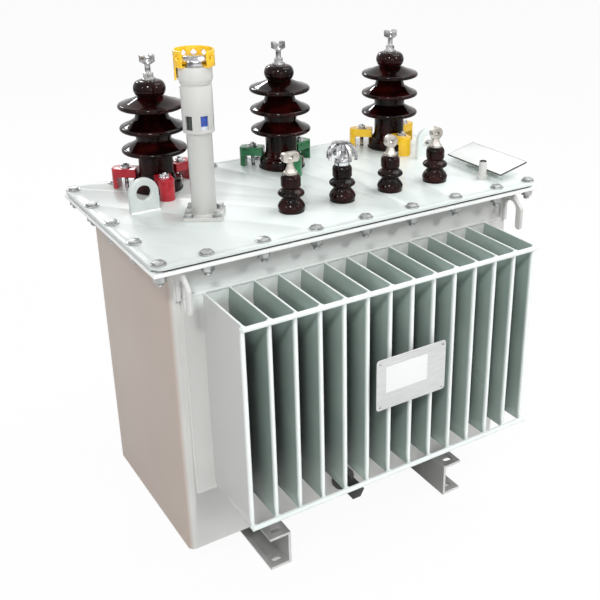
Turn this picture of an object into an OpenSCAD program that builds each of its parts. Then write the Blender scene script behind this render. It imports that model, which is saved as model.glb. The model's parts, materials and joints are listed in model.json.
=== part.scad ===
// Oil-immersed three-phase distribution transformer with corrugated fin walls.
// Millimetres. +Z is up, the long front side faces -Y, the origin is on the floor at the middle.

/* [Tank] */
// Length of the tank along the front
tank_length = 702; // [600:1:900]
// Depth of the tank, front wall to back wall
tank_depth = 356; // [320:1:460]
// Height of the tank, rails to flange
tank_height = 554; // [480:1:700]
// Radius of the tank's upright corners
tank_corner_r = 12; // [4:1:30]

/* [Fins] */
// Number of fins on each long side
fin_count = 14; // [8:2:14]
// Distance from fin to fin
fin_pitch = 45; // [38:1:46]
// How far the fins stand out of the wall
fin_depth = 140; // [80:1:200]
// Thickness of a fin's pocket
fin_thickness = 8; // [6:0.5:12]
// Thickness of a fin where it is pressed shut at its ends
fin_pinched = 3; // [2:0.5:4]
// Height of the pressed part at each end of a fin
fin_pinch_height = 26; // [10:1:50]
// Height of the fins
fin_height = 374; // [300:1:420]
// Gap between the flange and the tops of the fins
fin_drop = 61; // [50:1:100]
// Thickness of the pleated sheet that shows between the fins
fin_sheet = 3; // [2:0.5:5]
// Plain sheet at each side of the fins
fin_margin = 37; // [20:1:40]
// Diameter of the rods across the fins' tips
fin_rod_d = 9; // [6:0.5:12]

/* [Flange and cover] */
// How far the flange stands out past the tank's ends
flange_end_overhang = 35; // [25:1:60]
// How far the flange stands out past the front and back walls
flange_side_overhang = 42; // [35:1:70]
// Radius of the flange's corners
flange_corner_r = 2; // [1:0.5:12]
// Thickness of the tank's flange
flange_thickness = 6; // [5:0.5:12]
// Width of the flange's frame
flange_frame = 62; // [55:1:90]
// Thickness of the gasket
gasket_thickness = 4; // [2:0.5:8]
// How far the gasket's edge lies back from the flange's edge
gasket_setback = 4; // [2:0.5:8]
// Thickness of the cover plate
cover_thickness = 6; // [5:0.5:12]
// Length cut off the cover's corners
cover_chamfer = 14; // [4:1:20]
// Diameter of the cover bolts' holes
cover_bolt_hole_d = 14; // [11:0.5:18]
// Distance from the cover's edge to the bolts
cover_bolt_inset = 14; // [12:0.5:20]
// Distance from bolt to bolt along the front
cover_bolt_pitch = 98; // [80:1:100]

/* [Rails] */
// Height of the rail channels
rail_height = 70; // [50:1:100]
// Width of a rail's flanges
rail_flange = 42; // [40:1:60]
// Thickness of the rails
rail_wall = 5; // [4:0.5:8]
// Length of the rails, front to back
rail_length = 460; // [420:1:640]
// Distance between the two rows of fixing slots
rail_gauge = 400; // [340:1:420]
// Distance from a rail's back to its slots
rail_slot_inset = 22; // [18:1:26]
// Distance from a rail's end to its slots
rail_slot_end = 20; // [16:1:60]
// Width of the fixing slots
rail_slot_width = 13; // [9:0.5:18]
// Length of the fixing slots
rail_slot_length = 20; // [19:0.5:26]

/* [Lifting hooks] */
// Thickness of the lifting hooks' plate
hook_thickness = 7; // [6:1:12]
// Distance from the tank's end to a hook's middle
hook_inset = 14; // [14:1:40]
// How far a hook stands out of the wall
hook_reach = 56; // [48:1:64]
// Width of a hook's top under the flange
hook_head = 32; // [28:1:44]
// Height of a hook
hook_height = 66; // [56:1:80]
// Height of the plate over a hook's gap
hook_arch = 14; // [8:1:16]
// Width of a hook's prong
hook_prong = 15; // [12:1:20]
// Width of a hook's strip along the wall
hook_root = 11; // [6:1:16]
// Drop from the flange to the top of a hook
hook_drop = 4; // [0:0.5:10]

/* [High voltage bushings] */
// Distance between the high voltage bushings
hv_pitch = 260; // [220:1:270]
// Place of the middle high voltage bushing along the cover
hv_middle_x = 22; // [0:1:30]
// Distance from the cover's back edge to the high voltage bushings
hv_edge = 88; // [86:1:110]
// Diameter of a bushing's foot
hv_base_d = 88; // [84:1:96]
// Thickness of a bushing's foot
hv_base_height = 22; // [18:1:26]
// Diameter of the porcelain between the sheds
hv_barrel_d = 62; // [50:1:64]
// Diameter of the sheds
hv_shed_d = 117; // [104:1:120]
// Radius of the sheds' rims
hv_shed_rim = 4.5; // [4:0.5:7]
// Height of the lowest shed's edge above the cover
hv_shed_z = 76; // [70:1:84]
// Distance from shed to shed
hv_shed_pitch = 40; // [36:1:44]
// Number of sheds
hv_shed_count = 3; // [2:1:4]
// Diameter of the porcelain's neck under the head
hv_neck_d = 44; // [38:1:48]
// Diameter of the bushing's head
hv_head_d = 57; // [50:1:62]
// Height of the bushing's rounded head
hv_head_height = 27; // [22:1:32]
// Height of the bushing's top above the top shed's edge
hv_head_rise = 45; // [40:1:56]
// Diameter of the terminal stud
hv_stud_d = 10; // [8:1:14]
// Height of the stud above the head
hv_stud_length = 28; // [20:1:40]
// Width of the terminal block
hv_terminal = 25; // [20:1:28]
// Depth of the terminal block, front to back
hv_terminal_depth = 10; // [8:1:16]
// Height of the terminal block
hv_terminal_height = 16; // [15:1:24]

/* [Bushing clamps] */
// Width of a clamp
clamp_width = 28; // [20:1:32]
// How far a clamp's foot stands outside the bushing's foot
clamp_reach = 40; // [30:1:42]
// Thickness of a clamp's foot
clamp_leg = 12; // [8:1:14]
// Thickness of a clamp's bridge
clamp_bridge = 16; // [8:1:18]
// How far a clamp's toe lies over the bushing's foot
clamp_lap = 8; // [5:1:12]
// Turn of the clamps round the bushing
clamp_turn = 22; // [0:1:30]
// Diameter of the clamps' bolt holes
clamp_hole_d = 11; // [9:0.5:12]

/* [Low voltage bushings] */
// Distance between the low voltage bushings
lv_pitch = 104; // [90:1:110]
// Place of the first low voltage bushing along the cover
lv_first_x = -90; // [-100:1:-70]
// Distance from the cover's front edge to the low voltage bushings
lv_edge = 112; // [100:1:130]
// Diameter of a low voltage bushing's foot
lv_base_d = 48; // [44:1:54]
// Height of its foot
lv_base_height = 20; // [16:1:22]
// Diameter of its shed
lv_shed_d = 47; // [42:1:52]
// Height of its shed's edge
lv_shed_z = 33; // [30:1:38]
// Diameter of its head
lv_head_d = 35; // [32:1:40]
// Height of its porcelain
lv_height = 67; // [60:1:80]
// Diameter of its stud
lv_stud_d = 10; // [8:1:14]
// Height of its stud up to the round head
lv_stud_length = 17; // [16:1:30]
// Diameter of its terminal's round head
lv_terminal_d = 23; // [16:1:28]
// Thickness of its terminal's round head
lv_terminal_thickness = 12; // [8:1:14]
// Width of the first bushing's hammer head
lv_hammer_width = 30; // [24:1:36]
// Height of the hammer head
lv_hammer_height = 16; // [14:1:20]
// Diameter of the second bushing's caged terminal
lv_cage_d = 55; // [46:1:60]
// Height of the ring under the cage
lv_cage_lift = 9; // [7:1:12]
// Height of the cage
lv_cage_height = 31; // [29:1:38]
// Thickness of the cage's ribs
lv_cage_rib = 5; // [3:0.5:6]
// Number of ribs in the cage
lv_cage_ribs = 8; // [5:1:8]
// Diameter of the conductors' holes in the terminals
conductor_hole_d = 8.4; // [6:0.2:9]

/* [Oil gauge] */
// Distance from the cover's left edge to the gauge
gauge_end = 160; // [130:1:180]
// Distance from the cover's front edge to the gauge
gauge_edge = 172; // [150:1:190]
// Side of the gauge's square foot
gauge_foot = 66; // [62:1:80]
// Turn of the gauge
gauge_turn = -30; // [-60:1:60]
// Thickness of the gauge's foot
gauge_foot_thickness = 6; // [4:0.5:10]
// Diameter of the gauge's tube
gauge_tube_d = 42; // [38:1:46]
// Diameter of the gauge's head
gauge_head_d = 52; // [50:1:56]
// Height of the tube up to the window
gauge_tube_height = 148; // [120:1:180]
// Height of the window
gauge_window_height = 24; // [20:1:40]
// Thickness of the bars round the window
gauge_bar_thickness = 3.5; // [2:0.5:5]
// Height of the gauge's head above the window
gauge_head_height = 78; // [64:1:90]
// Diameter of the filling cap
gauge_cap_d = 46; // [40:1:50]
// Height of the filling cap
gauge_cap_height = 16; // [10:1:22]
// Diameter of the guard
guard_d = 66; // [64:1:76]
// Thickness of the guard's strip
guard_thickness = 2.5; // [1.5:0.5:4]
// Height of the guard
guard_height = 26; // [22:1:36]
// Width of the guard's openings
guard_opening = 8; // [5:0.5:10]
// Number of openings in the guard
guard_openings = 9; // [5:1:10]

/* [Cover fittings] */
// Diameter of the cover's lifting lugs
lug_d = 52; // [46:1:64]
// Diameter of the hole in a lifting lug
lug_hole_d = 27; // [18:1:30]
// Thickness of a lifting lug
lug_thickness = 10; // [6:1:14]
// Height of a lifting lug's hole above the cover
lug_hole_z = 34; // [28:1:40]
// Distance from the cover's ends to the lifting lugs
lug_end = 82; // [78:1:100]
// Distance from the cover's back edge to the lifting lugs
lug_edge = 194; // [180:1:210]
// Diameter of the thermometer pocket
pocket_d = 15; // [14:1:20]
// Height of the thermometer pocket
pocket_height = 35; // [34:1:44]
// Diameter of the pocket's bore
pocket_bore_d = 9; // [6:0.5:10]
// Depth of the pocket's bore
pocket_bore_depth = 30; // [20:1:30]
// Distance from the cover's right edge to the pocket
pocket_end = 80; // [78:1:100]
// Distance from the cover's front edge to the pocket
pocket_edge = 70; // [50:1:80]
// Length of the tilted plate's foot
tag_foot_length = 102; // [60:1:140]
// Width of the tilted plate's foot
tag_foot_width = 20; // [12:1:20]
// Thickness of the tilted plate's foot
tag_foot_wall = 2; // [1.5:0.5:3]
// Length of the tilted plate on the cover
tag_length = 160; // [100:1:180]
// Width of the tilted plate
tag_width = 66; // [50:1:72]
// Thickness of the tilted plate
tag_thickness = 3; // [1.5:0.5:4]
// Tilt of the plate
tag_tilt = 13; // [4:1:20]
// Height of the plate's low edge above the cover
tag_low = 15; // [10:1:20]
// Distance from the cover's right edge to the plate's middle
tag_end = 38; // [36:1:40]
// Distance from the cover's front edge to the plate's middle
tag_edge = 109; // [100:1:120]

/* [Plates and valve] */
// Width of the rating plate
plate_width = 146; // [130:1:170]
// Height of the rating plate
plate_height = 98; // [70:1:120]
// Thickness of the rating plate
plate_thickness = 1.5; // [1:0.5:3]
// Radius of the rating plate's corners
plate_corner_r = 6; // [2:1:12]
// Place of the rating plate along the front
plate_x = 13; // [5:1:20]
// Height of the rating plate's middle above the fins' lower ends
plate_rise = 198; // [120:1:240]
// Gap between the fins and the rating plate
plate_standoff = 12; // [10:1:24]
// How far the plate's saddles grip over the fins' tips
saddle_grip = 14; // [8:1:24]
// Thickness of the saddles' sides
saddle_wall = 3; // [2:0.5:4]
// Height of the saddles
saddle_height = 58; // [40:1:66]
// Diameter of the drain valve
drain_d = 34; // [26:1:40]
// Length of the drain valve
drain_length = 54; // [44:1:70]
// Place of the drain valve along the front
drain_x = -35; // [-60:1:0]
// Height of the drain valve above the rails
drain_z = 30; // [28:1:60]

/* [Seats] */
// Clearance between pieces that seat on each other
seat_clearance = 0.3; // [0.1:0.1:0.5]

/* [Hidden] */
round_fn = 48;
cut_extra = 1;
slope_steps = 6;
slope_power = 1.15;

flange_z = rail_height + tank_height;
gasket_z = flange_z + flange_thickness;
cover_z = gasket_z + gasket_thickness;
cover_top = cover_z + cover_thickness;
flange_length = tank_length + 2 * flange_end_overhang;
flange_depth = tank_depth + 2 * flange_side_overhang;
flange_mouth_length = flange_length - 2 * flange_frame;
flange_mouth_depth = flange_depth - 2 * flange_frame;

fin_top = flange_z - fin_drop;
fin_bottom = fin_top - fin_height;
fin_span = (fin_count - 1) * fin_pitch;
fin_root = tank_depth / 2 + fin_sheet;
fin_tip = tank_depth / 2 + fin_depth;
panel_length = fin_span + 2 * fin_margin;

rail_back_x = rail_gauge / 2 - rail_slot_inset;

hv_y = flange_depth / 2 - hv_edge;
hv_x = [hv_middle_x - hv_pitch, hv_middle_x, hv_middle_x + hv_pitch];
hv_top_shed = hv_shed_z + (hv_shed_count - 1) * hv_shed_pitch;
hv_head_top = hv_top_shed + hv_head_rise;
hv_shed_rise_share = 0.43;
hv_hole_rise = hv_terminal_height * 0.35;
base_edge = 3;
fork_mouth = hv_terminal * 0.2;
fork_floor = hv_terminal * 0.15;
fork_notch = hv_terminal_height * 0.3;
clamp_edge = 2;
washer_height = 4;
nut_height = 9;

lv_y = lv_edge - flange_depth / 2;
lv_x = [for (i = [0:3]) lv_first_x + i * lv_pitch];
lv_shed_rim = 4.5;
lv_groove = 2;
lv_cone_height = 14;
lv_hammer_r = 5;

gauge_x = gauge_end - flange_length / 2;
gauge_y = gauge_edge - flange_depth / 2;
gauge_bolt = gauge_foot / 2 - 9;
window_z = gauge_foot_thickness + gauge_tube_height;
head_z = window_z + gauge_window_height;
cap_z = head_z + gauge_head_height;
guard_r = guard_d / 2;
guard_tongue = guard_r * 0.7;
gauge_foot_corner = 4;
gauge_hole_d = 9;
gauge_ring = 6;
gauge_groove = 2;
gauge_collar = 22;
guard_mouth = 38;
guard_front = -83;
gauge_slot = gauge_head_d / 4;
gauge_glass_r = gauge_head_d / 2 - gauge_bar_thickness - seat_clearance;

lug_x = flange_length / 2 - lug_end;
lug_y = flange_depth / 2 - lug_edge;
pocket_x = flange_length / 2 - pocket_end;
pocket_y = pocket_edge - flange_depth / 2;
tag_x = flange_length / 2 - tag_end;
tag_y = tag_edge - flange_depth / 2;
tag_middle_z = tag_low + sin(tag_tilt) * tag_width / 2;
plate_z = fin_bottom + plate_rise;
drain_flange = 8;
drain_plug = 24;

// A flat outline with round corners, centred
module round_rect(length, depth, r) {
  square([length - 2 * r, depth], center = true);
  square([length, depth - 2 * r], center = true);
  for (sx = [-1, 1], sy = [-1, 1])
    translate([sx * (length / 2 - r), sy * (depth / 2 - r)])
      circle(r, $fn = round_fn);
}

// A flat outline with its corners cut off, centred
module cut_rect(length, depth, cut) {
  polygon([
    [-length / 2 + cut, -depth / 2], [length / 2 - cut, -depth / 2],
    [length / 2, -depth / 2 + cut], [length / 2, depth / 2 - cut],
    [length / 2 - cut, depth / 2], [-length / 2 + cut, depth / 2],
    [-length / 2, depth / 2 - cut], [-length / 2, -depth / 2 + cut]
  ]);
}

// Centres of the bolts round the flange
function flange_bolts() =
  let (ex = flange_length / 2 - cover_bolt_inset, ey = flange_depth / 2 - cover_bolt_inset)
  concat(
    [for (i = [-3:3], s = [-1, 1]) [i * cover_bolt_pitch, s * ey]],
    [for (k = [-2:2], s = [-1, 1]) [s * ex, k * ey / 2]]
  );

module flange_holes() {
  for (p = flange_bolts())
    translate(p)
      circle(d = cover_bolt_hole_d, $fn = round_fn);
}

// Tank box with the plain part of its pleated walls standing proud on both long sides
module tank_body() {
  color("silver") {
    translate([0, 0, rail_height])
      linear_extrude(tank_height)
        round_rect(tank_length, tank_depth, tank_corner_r);
    translate([-panel_length / 2, -fin_root, fin_bottom])
      cube([panel_length, 2 * fin_root, fin_height]);
  }
}

// Outline of one fin seen from the front, pressed thin at both ends
module fin_front_outline() {
  t = fin_thickness / 2;
  p = fin_pinched / 2;
  polygon([
    [-p, 0], [p, 0], [t, fin_pinch_height], [t, fin_height - fin_pinch_height],
    [p, fin_height], [-p, fin_height], [-t, fin_height - fin_pinch_height], [-t, fin_pinch_height]
  ]);
}

// Outline of one fin seen from above, with its round tip
module fin_top_outline() {
  t = fin_thickness / 2;
  translate([-t, t - fin_tip])
    square([fin_thickness, fin_tip - t - fin_root]);
  translate([0, t - fin_tip])
    circle(t, $fn = round_fn);
}

module fin() {
  intersection() {
    translate([0, 0, fin_bottom])
      linear_extrude(fin_height)
        fin_top_outline();
    translate([0, -tank_depth / 2, fin_bottom])
      rotate([90, 0, 0])
        linear_extrude(fin_depth)
          fin_front_outline();
  }
}

// Place of a fin along the front, counted from the left
function fin_x(k) = k * fin_pitch - fin_span / 2;

// The row of fins on the front side
module fin_bank() {
  for (k = [0:fin_count - 1])
    translate([fin_x(k), 0, 0])
      fin();
}

module front_fin_bank() {
  color("darkseagreen")
    fin_bank();
}

module back_fin_bank() {
  color("darkseagreen")
    rotate([0, 0, 180])
      fin_bank();
}

// Two rods that tie the tips of the front fins, one at the top and one at the bottom
module fin_rods() {
  rod_r = fin_rod_d / 2;
  for (z = [fin_bottom + rod_r, fin_top - rod_r])
    translate([-(fin_span + fin_thickness) / 2, -fin_tip - seat_clearance - rod_r, z])
      rotate([0, 90, 0])
        cylinder(h = fin_span + fin_thickness, r = rod_r, $fn = round_fn);
}

module front_fin_rods() {
  color("whitesmoke")
    fin_rods();
}

module back_fin_rods() {
  color("whitesmoke")
    rotate([0, 0, 180])
      fin_rods();
}

module tank_flange() {
  color("gainsboro")
    translate([0, 0, flange_z])
      linear_extrude(flange_thickness)
        difference() {
          round_rect(flange_length, flange_depth, flange_corner_r);
          square([flange_mouth_length, flange_mouth_depth], center = true);
          flange_holes();
        }
}

module cover_gasket() {
  color("dimgray")
    translate([0, 0, gasket_z])
      linear_extrude(gasket_thickness)
        difference() {
          cut_rect(flange_length - 2 * gasket_setback, flange_depth - 2 * gasket_setback, cover_chamfer);
          square([flange_mouth_length, flange_mouth_depth], center = true);
          flange_holes();
        }
}

module cover_plate() {
  color("gainsboro")
    translate([0, 0, cover_z])
      linear_extrude(cover_thickness)
        difference() {
          cut_rect(flange_length, flange_depth, cover_chamfer);
          flange_holes();
        }
}

// Slot outline along X, centred
module rail_slot() {
  reach = (rail_slot_length - rail_slot_width) / 2;
  square([2 * reach, rail_slot_width], center = true);
  for (s = [-1, 1])
    translate([s * reach, 0])
      circle(d = rail_slot_width, $fn = round_fn);
}

// Channel open to +X with its back at x = 0
module rail() {
  difference() {
    translate([0, -rail_length / 2, 0])
      cube([rail_flange, rail_length, rail_height]);
    translate([rail_wall, -rail_length / 2 - cut_extra, rail_wall])
      cube([rail_flange, rail_length + 2 * cut_extra, rail_height - 2 * rail_wall]);
    for (s = [-1, 1])
      translate([rail_slot_inset, s * (rail_length / 2 - rail_slot_end), -cut_extra])
        linear_extrude(rail_height + 2 * cut_extra)
          rail_slot();
  }
}

module right_rail() {
  color("gray")
    translate([rail_back_x, 0, 0])
      rail();
}

module left_rail() {
  color("gray")
    mirror([1, 0, 0])
      translate([rail_back_x, 0, 0])
        rail();
}

// Hook plate on the front wall, drawn in the YZ plane and centred on x = 0
module hook() {
  prong_r = hook_prong / 2;
  gap_r = (hook_reach - hook_prong - hook_root) / 2;
  translate([-hook_thickness / 2, -tank_depth / 2, flange_z - hook_drop])
    rotate([90, 0, 90])
      linear_extrude(hook_thickness)
        difference() {
          union() {
            polygon([
              [0, 0], [-hook_head, 0], [-hook_reach, hook_head - hook_reach],
              [-hook_reach, prong_r - hook_height], [hook_prong - hook_reach, prong_r - hook_height],
              [hook_prong - hook_reach, -hook_arch - gap_r], [-hook_root, -hook_arch - gap_r],
              [-hook_root, prong_r - hook_height], [0, prong_r - hook_height]
            ]);
            translate([prong_r - hook_reach, prong_r - hook_height])
              circle(prong_r, $fn = round_fn);
          }
          translate([-hook_root - gap_r, -hook_arch - gap_r])
            circle(gap_r, $fn = round_fn);
        }
}

module hook_at(sx, sy) {
  color("silver")
    mirror([0, sy > 0 ? 1 : 0, 0])
      translate([sx * (tank_length / 2 - hook_inset), 0, 0])
        hook();
}

module front_left_hook() { hook_at(-1, -1); }
module front_right_hook() { hook_at(1, -1); }
module back_left_hook() { hook_at(-1, 1); }
module back_right_hook() { hook_at(1, 1); }

// Sloping upper side of a shed, from its rim in to the porcelain's core
function shed_slope(r, core_r) =
  let (rim_r = r - hv_shed_rim, rise = hv_shed_pitch * hv_shed_rise_share - hv_shed_rim)
  [for (i = [0:slope_steps])
    let (t = i / slope_steps)
    [rim_r - (rim_r - core_r) * t, hv_shed_rim + rise * pow(t, slope_power)]];

// Half outline of one shed, with a round rim and a flat underside
module shed_outline(r, core_r) {
  polygon(concat([[core_r, -hv_shed_rim * 0.7], [r - hv_shed_rim, -hv_shed_rim]], shed_slope(r, core_r)));
  translate([r - hv_shed_rim, 0])
    circle(hv_shed_rim, $fn = round_fn);
}

module hv_bushing(x) {
  base_r = hv_base_d / 2;
  core_r = hv_barrel_d / 2;
  neck_r = hv_neck_d / 2;
  head_r = hv_head_d / 2;
  bulb_r = hv_head_height * 0.42;
  head_low = hv_head_top - hv_head_height;
  color("saddlebrown")
    translate([x, hv_y, cover_top])
      rotate_extrude($fn = round_fn) {
        polygon([
          [0, 0], [base_r - base_edge, 0], [base_r, base_edge], [base_r, hv_base_height - 2 * base_edge],
          [base_r - base_edge, hv_base_height], [base_r - clamp_lap - 1, hv_base_height],
          [core_r, hv_base_height + 9], [core_r, hv_top_shed],
          [neck_r, hv_top_shed + 1], [neck_r, head_low + bulb_r], [0, head_low + bulb_r]
        ]);
        for (i = [0:hv_shed_count - 1])
          translate([0, hv_shed_z + i * hv_shed_pitch])
            shed_outline(hv_shed_d / 2, i == hv_shed_count - 1 ? neck_r - 1 : core_r - 1);
        translate([0, head_low])
          square([head_r - bulb_r, hv_head_height]);
        translate([0, head_low + bulb_r])
          square([head_r, hv_head_height - 2 * bulb_r]);
        for (z = [head_low + bulb_r, hv_head_top - bulb_r])
          translate([head_r - bulb_r, z])
            circle(bulb_r, $fn = round_fn);
      }
}

module left_hv_bushing() { hv_bushing(hv_x[0]); }
module middle_hv_bushing() { hv_bushing(hv_x[1]); }
module right_hv_bushing() { hv_bushing(hv_x[2]); }

// Flared block seen from the front, with a notch that the conductor lies in
module fork_outline() {
  half = hv_terminal / 2;
  polygon([
    [-hv_stud_d / 2, 0], [hv_stud_d / 2, 0], [half, hv_terminal * 0.16], [half, hv_terminal_height],
    [fork_mouth, hv_terminal_height], [fork_floor, hv_terminal_height - fork_notch],
    [-fork_floor, hv_terminal_height - fork_notch], [-fork_mouth, hv_terminal_height],
    [-half, hv_terminal_height], [-half, hv_terminal * 0.16]
  ]);
}

// Stud with a washer and a nut at its foot and a forked block for the conductor on top
module hv_terminal_at(x) {
  color("lightgray")
    translate([x, hv_y, cover_top + hv_head_top])
      difference() {
        union() {
          cylinder(h = washer_height, d = hv_stud_d + 14, $fn = round_fn);
          cylinder(h = washer_height + nut_height, d = hv_stud_d + 9, $fn = 6);
          cylinder(h = hv_stud_length + 1, d = hv_stud_d, $fn = round_fn);
          translate([0, hv_terminal_depth / 2, hv_stud_length])
            rotate([90, 0, 0])
              linear_extrude(hv_terminal_depth)
                fork_outline();
        }
        translate([0, 0, hv_stud_length + hv_hole_rise])
          rotate([90, 0, 0])
            cylinder(h = 2 * hv_terminal_depth, d = conductor_hole_d, center = true, $fn = round_fn);
      }
}

module left_hv_terminal() { hv_terminal_at(hv_x[0]); }
module middle_hv_terminal() { hv_terminal_at(hv_x[1]); }
module right_hv_terminal() { hv_terminal_at(hv_x[2]); }

// One clamp on the +X side of a bushing: a round foot on the cover, a bridge and a toe on the porcelain
module clamp() {
  inner = hv_base_d / 2 - clamp_lap;
  outer = hv_base_d / 2 + clamp_reach;
  seat = hv_base_height + seat_clearance;
  top = seat + clamp_bridge;
  round_r = clamp_width / 2;
  difference() {
    intersection() {
      translate([0, round_r, 0])
        rotate([90, 0, 0])
          linear_extrude(clamp_width)
            polygon([
              [inner, seat], [outer - clamp_leg, seat], [outer - clamp_leg, 0], [outer, 0],
              [outer, top - clamp_edge], [outer - clamp_edge, top], [inner + clamp_edge, top],
              [inner, top - clamp_edge]
            ]);
      linear_extrude(top) {
        translate([inner - cut_extra, -round_r])
          square([outer - inner + cut_extra - round_r, clamp_width]);
        translate([outer - round_r, 0])
          circle(round_r, $fn = round_fn);
      }
    }
    translate([(hv_base_d / 2 + outer - clamp_leg) / 2, 0, 0])
      cylinder(h = top + cut_extra, d = clamp_hole_d, $fn = round_fn);
  }
}

module clamps_at(x) {
  for (a = [0:120:240])
    translate([x, hv_y, cover_top])
      rotate([0, 0, a + clamp_turn])
        clamp();
}

module red_clamps() {
  color("crimson")
    clamps_at(hv_x[0]);
}

module green_clamps() {
  color("seagreen")
    clamps_at(hv_x[1]);
}

module yellow_clamps() {
  color("gold")
    clamps_at(hv_x[2]);
}

// Rounded shoulder of a low voltage bushing's foot, from its rim in to the waist
function lv_shoulder(base_r, waist_r, z) =
  [for (a = [0:15:90]) [waist_r + (base_r - waist_r) * cos(a), z + (lv_base_height - z) * sin(a)]];

module lv_bushing(i) {
  base_r = lv_base_d / 2;
  rim_x = lv_shed_d / 2 - lv_shed_rim;
  head_r = lv_head_d / 2;
  waist_r = head_r - lv_groove;
  head_z = lv_shed_z + 2 * lv_shed_rim;
  color("saddlebrown")
    translate([lv_x[i], lv_y, cover_top])
      rotate_extrude($fn = round_fn) {
        polygon(concat(
          [[0, 0], [base_r - lv_groove, 0]], lv_shoulder(base_r, waist_r, lv_base_height * 0.4),
          [[waist_r, head_z], [head_r, head_z + lv_groove], [head_r, lv_height - 2 * lv_groove],
          [head_r - 2 * lv_groove, lv_height], [0, lv_height]]
        ));
        polygon([
          [waist_r - 1, lv_shed_z - lv_shed_rim - 1], [rim_x, lv_shed_z - lv_shed_rim],
          [rim_x, lv_shed_z + lv_shed_rim], [waist_r - 1, head_z - 1]
        ]);
        translate([rim_x, lv_shed_z])
          circle(lv_shed_rim, $fn = round_fn);
      }
}

module first_lv_bushing() { lv_bushing(0); }
module second_lv_bushing() { lv_bushing(1); }
module third_lv_bushing() { lv_bushing(2); }
module fourth_lv_bushing() { lv_bushing(3); }

// Outline of a terminal's flattened head: round, or a hammer on the first bushing
module lv_head_outline(i) {
  if (i == 0)
    translate([0, (lv_terminal_d - lv_hammer_height) / 2])
      round_rect(lv_hammer_width, lv_hammer_height, lv_hammer_r);
  else
    circle(d = lv_terminal_d, $fn = round_fn);
}

// Washer, cone nut, stud and a flattened head with a hole for the conductor's lug
module lv_terminal(i) {
  stud_r = lv_stud_d / 2;
  eye_z = lv_stud_length + lv_terminal_d / 2 - 2;
  hole_z = i == 0 ? eye_z + (lv_terminal_d - lv_hammer_height) / 2 : eye_z;
  color("lightgray")
    translate([lv_x[i], lv_y, cover_top + lv_height])
      difference() {
        union() {
          cylinder(h = washer_height, r = stud_r + 7, $fn = round_fn);
          translate([0, 0, washer_height])
            cylinder(h = lv_cone_height, r1 = stud_r + 5, r2 = stud_r, $fn = round_fn);
          cylinder(h = eye_z, r = stud_r, $fn = round_fn);
          translate([0, lv_terminal_thickness / 2, eye_z])
            rotate([90, 0, 0])
              linear_extrude(lv_terminal_thickness)
                lv_head_outline(i);
        }
        translate([0, 0, hole_z])
          rotate([90, 0, 0])
            cylinder(h = lv_terminal_d, d = conductor_hole_d, center = true, $fn = round_fn);
      }
}

// Domed cage open at the bottom, its ribs spread from the top of a stud that stands on a ring
module caged_terminal(i) {
  stud_r = lv_stud_d / 2;
  arc_r = lv_cage_d / 2 - stud_r;
  top = lv_cage_lift + lv_cage_height;
  color("lightgray")
    translate([lv_x[i], lv_y, cover_top + lv_height]) {
      cylinder(h = lv_cage_lift, r = lv_head_d / 2 - 2 * lv_groove, $fn = round_fn);
      cylinder(h = top, r = stud_r, $fn = round_fn);
      translate([0, 0, top - lv_cage_rib - 1])
        cylinder(h = lv_cage_rib + 2, r = stud_r + 4, $fn = round_fn);
      for (k = [0:lv_cage_ribs - 1])
        rotate([90, 0, k * 360 / lv_cage_ribs])
          translate([0, 0, -lv_cage_rib / 2])
            linear_extrude(lv_cage_rib) {
              intersection() {
                translate([stud_r, top - arc_r])
                  difference() {
                    circle(arc_r, $fn = round_fn);
                    circle(arc_r - lv_cage_rib, $fn = round_fn);
                  }
                translate([stud_r, top - arc_r])
                  square([lv_cage_d, arc_r + 1]);
              }
              translate([lv_cage_d / 2 - lv_cage_rib, lv_cage_lift + 1])
                square([lv_cage_rib, lv_cage_height - arc_r]);
            }
    }
}

module first_lv_terminal() { lv_terminal(0); }
module second_lv_terminal() { caged_terminal(1); }
module third_lv_terminal() { lv_terminal(2); }
module fourth_lv_terminal() { lv_terminal(3); }

module at_gauge(z) {
  translate([gauge_x, gauge_y, cover_top + z])
    rotate([0, 0, gauge_turn])
      children();
}

module gauge_foot_plate() {
  color("lightgray")
    at_gauge(0)
      linear_extrude(gauge_foot_thickness)
        difference() {
          round_rect(gauge_foot, gauge_foot, gauge_foot_corner);
          for (sx = [-1, 1], sy = [-1, 1])
            translate([sx * gauge_bolt, sy * gauge_bolt])
              circle(d = gauge_hole_d, $fn = round_fn);
        }
}

// Tube with a ring at its top that carries the window
module gauge_tube() {
  color("lightgray")
    at_gauge(gauge_foot_thickness) {
      cylinder(h = gauge_tube_height, d = gauge_tube_d, $fn = round_fn);
      translate([0, 0, gauge_tube_height - gauge_ring])
        cylinder(h = gauge_ring, d = gauge_head_d, $fn = round_fn);
    }
}

module gauge_window() {
  color("steelblue")
    at_gauge(window_z)
      cylinder(h = gauge_window_height, r = gauge_glass_r, $fn = round_fn);
}

// Outline of the window's bore and of the slots between its bars
module window_outline() {
  circle(gauge_head_d / 2 - gauge_bar_thickness, $fn = round_fn);
  for (a = [0:60:300])
    rotate(a)
      translate([0, -gauge_slot / 2])
        square([gauge_head_d, gauge_slot]);
}

// Head with a groove and a collar, and the bars that stand round the window
module gauge_head() {
  head_r = gauge_head_d / 2;
  top = gauge_window_height + gauge_head_height;
  color("lightgray")
    at_gauge(window_z)
      difference() {
        union() {
          cylinder(h = top, r = head_r, $fn = round_fn);
          translate([0, 0, top - gauge_collar])
            cylinder(h = gauge_collar, r = head_r + gauge_groove, $fn = round_fn);
        }
        translate([0, 0, -cut_extra])
          linear_extrude(gauge_window_height + cut_extra)
            window_outline();
        translate([0, 0, top - gauge_collar - 3 * gauge_ring / 2])
          difference() {
            cylinder(h = 2 * gauge_groove, r = gauge_head_d, $fn = round_fn);
            cylinder(h = 2 * gauge_groove, r = head_r - gauge_groove, $fn = round_fn);
          }
      }
}

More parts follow.
